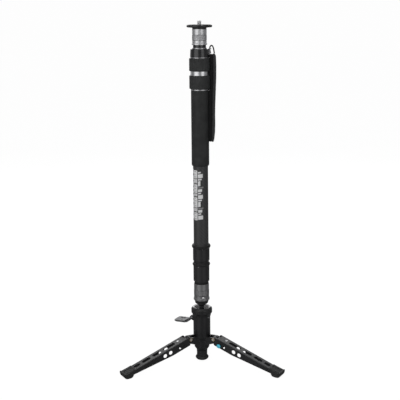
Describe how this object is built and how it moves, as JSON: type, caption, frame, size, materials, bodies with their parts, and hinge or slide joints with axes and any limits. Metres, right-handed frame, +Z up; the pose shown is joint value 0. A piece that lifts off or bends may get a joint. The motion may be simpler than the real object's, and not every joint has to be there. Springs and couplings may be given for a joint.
{
  "type": "camera monopod",
  "caption": "Telescoping carbon camera monopod with a twist-lock grip, a camera platform, a tilting fluid base with a foot pedal and fold-out slotted legs.",
  "frame": {"origin": "on the column's axis at floor level, the point the three boots stand around", "axes": "+Z up along the column towards the camera screw; -Y is the front, between the left and right legs; +X to the right, the side with the wrist strap"},
  "size_m": [0.394, 0.342, 0.8266],
  "materials": {
    "hub_black": "satin black",
    "housing_black": "satin black",
    "post_black": "satin black",
    "foot_rubber": "matte black",
    "pin_steel": "bright",
    "washer_brass": "bright",
    "seat_plastic": "matte",
    "spring_steel": "spring temper",
    "ball_black": "hard black",
    "bearing_bronze": "satin",
    "swivel_bronze": "satin",
    "cap_black": "satin black",
    "pedal_silver": "satin",
    "pedal_tread_silver": "cast, satin",
    "coupler_grey": "grey anodised",
    "coupler_knurl_grey": "grey anodised, knurled",
    "release_silver": "bright",
    "seal_rubber": "matte",
    "tube_carbon": "clear-coated carbon fibre weave",
    "plug_aluminium": "machined",
    "collet_plastic": "matte",
    "lock_rod_aluminium": "machined",
    "collar_black": "satin black",
    "bush_plastic": "matte",
    "foam_black": "closed-cell foam",
    "trim_silver": "bright",
    "head_black": "satin black",
    "anchor_silver": "satin",
    "top_coupler_silver": "satin anodised",
    "top_knurl_silver": "knurled",
    "platform_black": "satin black",
    "pad_rubber": "matte",
    "screw_steel": "plated",
    "grip_sleeve_silver": "satin anodised",
    "grip_rubber": "ribbed, matte",
    "strap_cord_black": "woven cord",
    "strap_fabric": "woven webbing over padding",
    "leg_black": "satin black",
    "knuckle_black": "satin black",
    "boot_rubber": "matte",
    "button_blue": "blue anodised"
  },
  "bodies": {
    "base": {"base_hub": "hub_black", "fluid_housing": "housing_black", "center_post": "post_black", "center_foot": "foot_rubber", "leg_hinge_pins": "pin_steel", "hinge_washers": "washer_brass", "ball_seat": "seat_plastic", "seat_spring": "spring_steel", "pedal_pin": "pin_steel", "center_bolt": "pin_steel"},
    "pedal": {"pedal_lever": "pedal_silver", "pedal_tread": "pedal_tread_silver"},
    "tension_cap": {"tension_cap": "cap_black"},
    "swivel_ring": {"ball_swivel_ring": "swivel_bronze"},
    "ball_stem": {"tilt_ball": "ball_black", "pan_bearing": "bearing_bronze"},
    "lower_section": {"base_coupler": "coupler_grey", "coupler_seal_ring": "seal_rubber", "inner_tube": "tube_carbon", "inner_tube_plug": "plug_aluminium", "inner_lock_collet": "collet_plastic"},
    "base_coupler_ring": {"base_knurled_ring": "coupler_knurl_grey"},
    "release_button": {"base_release_button": "release_silver"},
    "inner_lock": {"inner_lock_cam": "lock_rod_aluminium"},
    "middle_section": {"middle_tube": "tube_carbon", "middle_collar": "collar_black", "middle_bush": "bush_plastic", "middle_tube_plug": "plug_aluminium", "middle_lock_collet": "collet_plastic"},
    "middle_lock": {"middle_lock_rod": "lock_rod_aluminium"},
    "upper_section": {"upper_tube": "tube_carbon", "upper_collar": "collar_black", "upper_bush": "bush_plastic", "foam_handle": "foam_black", "trim_rings": "trim_silver", "head_collar": "head_black", "strap_anchor": "anchor_silver", "top_coupler": "top_coupler_silver", "top_platform": "platform_black", "platform_pad": "pad_rubber", "camera_screw": "screw_steel"},
    "lock_grip": {"grip_sleeve": "grip_sleeve_silver", "grip_rubbers": "grip_rubber", "upper_lock_rod": "lock_rod_aluminium", "drive_pin": "pin_steel"},
    "top_coupler_ring": {"top_knurled_ring": "top_knurl_silver"},
    "wrist_strap": {"strap_cord": "strap_cord_black", "wrist_strap": "strap_fabric"},
    "right_leg": {"right_leg_channel": "leg_black", "right_leg_knuckle": "knuckle_black", "right_leg_boot": "boot_rubber"},
    "right_leg_button": {"right_leg_button": "button_blue"},
    "left_leg": {"left_leg_channel": "leg_black", "left_leg_knuckle": "knuckle_black", "left_leg_boot": "boot_rubber"},
    "left_leg_button": {"left_leg_button": "button_blue"},
    "rear_leg": {"rear_leg_channel": "leg_black", "rear_leg_knuckle": "knuckle_black", "rear_leg_boot": "boot_rubber"},
    "rear_leg_button": {"rear_leg_button": "button_blue"}
  },
  "joints": [
    {"name": "right_leg_fold", "type": "hinge", "parent": "base", "child": "right_leg", "pos_m": [0.03248, -0.01875, 0.061], "axis": [-0.5, -0.866, 0], "range_deg": [0, 108.8]},
    {"name": "left_leg_fold", "type": "hinge", "parent": "base", "child": "left_leg", "pos_m": [-0.03248, -0.01875, 0.061], "axis": [0.5, -0.866, 0], "range_deg": [-108.8, 0]},
    {"name": "rear_leg_fold", "type": "hinge", "parent": "base", "child": "rear_leg", "pos_m": [0, 0.0375, 0.061], "axis": [-1, 0, 0], "range_deg": [-108.8, 0]},
    {"name": "right_leg_lock_press", "type": "slide", "parent": "right_leg", "child": "right_leg_button", "axis": [0.5, 0.866, 0], "range_m": [0, 0.0015], "stiffness_N_per_m": 600, "springref_m": -0.002},
    {"name": "left_leg_lock_press", "type": "slide", "parent": "left_leg", "child": "left_leg_button", "axis": [0.5, -0.866, 0], "range_m": [0, 0.0015], "stiffness_N_per_m": 600, "springref_m": -0.002},
    {"name": "rear_leg_lock_press", "type": "slide", "parent": "rear_leg", "child": "rear_leg_button", "axis": [-1, 0, 0], "range_m": [0, 0.0015], "stiffness_N_per_m": 600, "springref_m": -0.002},
    {"name": "pedal_press", "type": "hinge", "parent": "base", "child": "pedal", "pos_m": [-0.02182, 0.0126, 0.107], "axis": [-0.5, -0.866, 0], "range_deg": [0, 12], "stiffness_Nm_per_rad": 2, "springref_deg": -11.46},
    {"name": "tension_turn", "type": "hinge", "parent": "base", "child": "tension_cap", "pos_m": [0, 0, 0.1255], "axis": [0, 0, 1], "range_deg": [0, 90]},
    {"name": "ball_direction", "type": "hinge", "parent": "base", "child": "swivel_ring", "pos_m": [0, 0, 0.1135], "axis": [0, 0, 1], "continuous": true},
    {"name": "column_tilt", "type": "hinge", "parent": "swivel_ring", "child": "ball_stem", "pos_m": [0, 0, 0.1135], "axis": [-0.866, 0.5, 0], "range_deg": [-20, 20]},
    {"name": "column_pan", "type": "hinge", "parent": "ball_stem", "child": "lower_section", "pos_m": [0, 0, 0.1605], "axis": [0, 0, 1], "continuous": true},
    {"name": "base_ring_turn", "type": "hinge", "parent": "lower_section", "child": "base_coupler_ring", "pos_m": [0, 0, 0.1755], "axis": [0, 0, 1], "range_deg": [0, 120]},
    {"name": "release_press", "type": "slide", "parent": "lower_section", "child": "release_button", "axis": [-0.2079, 0.9781, 0], "range_m": [0, 0.0015], "stiffness_N_per_m": 600, "springref_m": -0.002},
    {"name": "inner_lock_turn", "type": "hinge", "parent": "lower_section", "child": "inner_lock", "pos_m": [0, 0, 0.6655], "axis": [0, 0, 1], "range_deg": [0, 60]},
    {"name": "lower_extension", "type": "slide", "parent": "lower_section", "child": "middle_section", "axis": [0, 0, 1], "range_m": [0, 0.4]},
    {"name": "middle_lock_turn", "type": "hinge", "parent": "middle_section", "child": "middle_lock", "pos_m": [0, 0, 0.6955], "axis": [0, 0, 1], "range_deg": [0, 60]},
    {"name": "upper_extension", "type": "slide", "parent": "middle_section", "child": "upper_section", "axis": [0, 0, 1], "range_m": [0, 0.4]},
    {"name": "grip_twist", "type": "hinge", "parent": "upper_section", "child": "lock_grip", "pos_m": [0, 0, 0.7055], "axis": [0, 0, 1], "range_deg": [0, 60]},
    {"name": "top_ring_turn", "type": "hinge", "parent": "upper_section", "child": "top_coupler_ring", "pos_m": [0, 0, 0.7885], "axis": [0, 0, 1], "range_deg": [0, 120]},
    {"name": "strap_swing", "type": "hinge", "parent": "upper_section", "child": "wrist_strap", "pos_m": [0.0236, 0, 0.7629], "axis": [0, -1, 0], "range_deg": [0, 20]}
  ],
  "couplings": [
    {"joint": "middle_lock_turn", "follows": "grip_twist", "ratio": 1},
    {"joint": "inner_lock_turn", "follows": "grip_twist", "ratio": 1}
  ]
}
